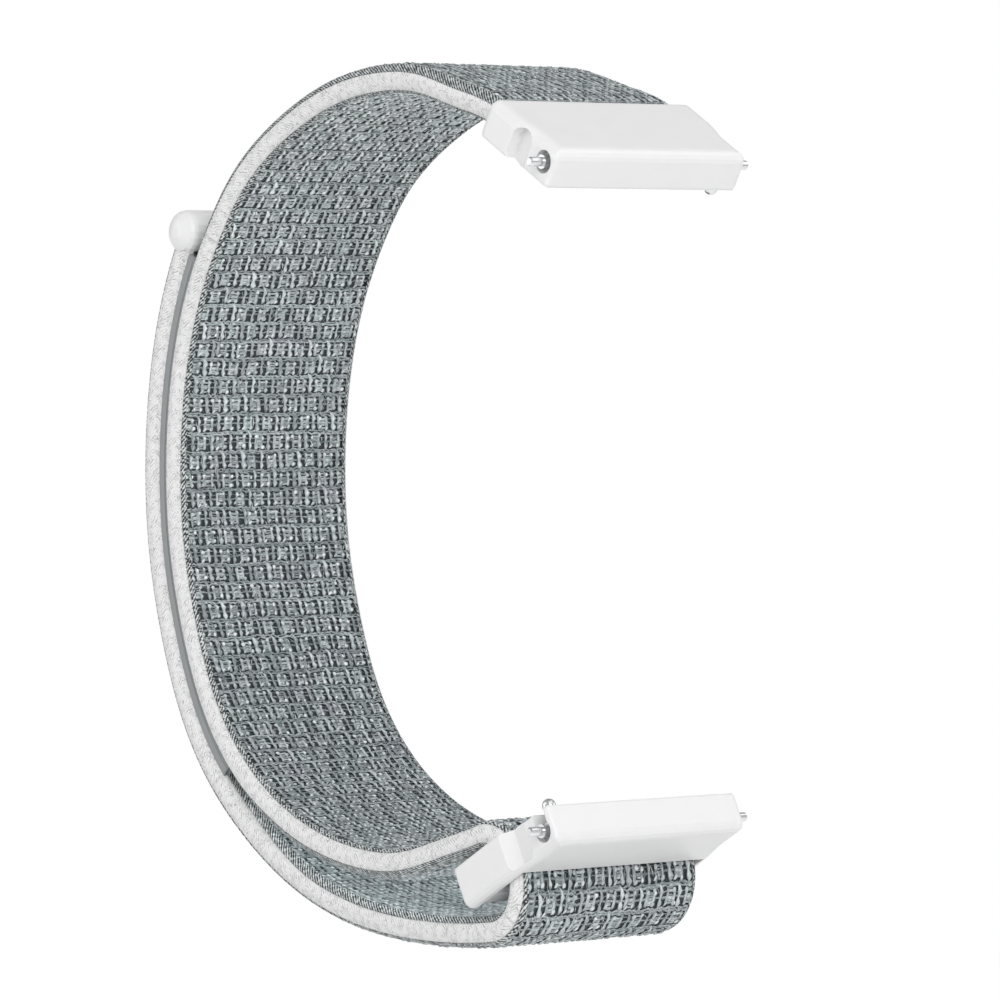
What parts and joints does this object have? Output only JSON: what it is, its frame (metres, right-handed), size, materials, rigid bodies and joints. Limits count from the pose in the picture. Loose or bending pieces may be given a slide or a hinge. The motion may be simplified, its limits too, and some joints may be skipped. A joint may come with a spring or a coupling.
{
  "type": "watch strap",
  "caption": "Woven nylon watch strap shown closed: moulded end connectors with quick-release spring bars, webbing folded back through the lower one, hook tape and a pull tab.",
  "frame": {"origin": "midway between the two spring-bar axes, on the strap's middle plane, where the centre of the watch's strap side lies", "axes": "+X from the wrist side towards the watch, +Y along the spring bars, +Z from the lower connector to the upper one"},
  "size_m": [0.0592, 0.0228, 0.073],
  "materials": {
    "webbing_grey": "ribbed woven nylon",
    "selvedge_white": "ribbed woven nylon edge",
    "hook_grey": "fine hook tape",
    "moulded_white": "smooth satin moulding",
    "polished_steel": "polished",
    "spring_steel": "drawn wire"
  },
  "bodies": {
    "band": {"band_webbing": "webbing_grey", "band_selvedge_near": "selvedge_white", "band_selvedge_far": "selvedge_white", "fold_webbing": "webbing_grey", "fold_selvedge_near": "selvedge_white", "fold_selvedge_far": "selvedge_white", "upper_connector": "moulded_white", "retaining_rod": "polished_steel", "upper_bar_tube": "polished_steel", "upper_bar_fixed_tip": "polished_steel", "upper_bar_spring": "spring_steel"},
    "upper_release": {"upper_bar_plunger": "polished_steel", "upper_bar_lever": "polished_steel"},
    "lower_end": {"lower_connector": "moulded_white", "lower_bar_tube": "polished_steel", "lower_bar_fixed_tip": "polished_steel", "lower_bar_spring": "spring_steel"},
    "lower_release": {"lower_bar_plunger": "polished_steel", "lower_bar_lever": "polished_steel"},
    "tail": {"tail_webbing": "webbing_grey", "tail_selvedge_near": "selvedge_white", "tail_selvedge_far": "selvedge_white", "hook_tape": "hook_grey", "tail_tab": "moulded_white"}
  },
  "joints": [
    {"name": "upper_release_slide", "type": "slide", "parent": "band", "child": "upper_release", "axis": [0, -1, 0], "range_m": [0, 0.0014], "stiffness_N_per_m": 1500, "springref_m": -0.0007, "deforming": ["upper_bar_spring"]},
    {"name": "lower_connector_pivot", "type": "hinge", "parent": "band", "child": "lower_end", "pos_m": [-0.00845, 0, -0.03178], "axis": [0, 1, 0], "range_deg": [-20, 20]},
    {"name": "lower_release_slide", "type": "slide", "parent": "lower_end", "child": "lower_release", "axis": [0, 1, 0], "range_m": [0, 0.0014], "stiffness_N_per_m": 1500, "springref_m": -0.0007, "deforming": ["lower_bar_spring"]},
    {"name": "tail_peel", "type": "hinge", "parent": "band", "child": "tail", "pos_m": [-0.00772, 0, -0.03693], "axis": [0, -1, 0], "range_deg": [0, 50]}
  ]
}
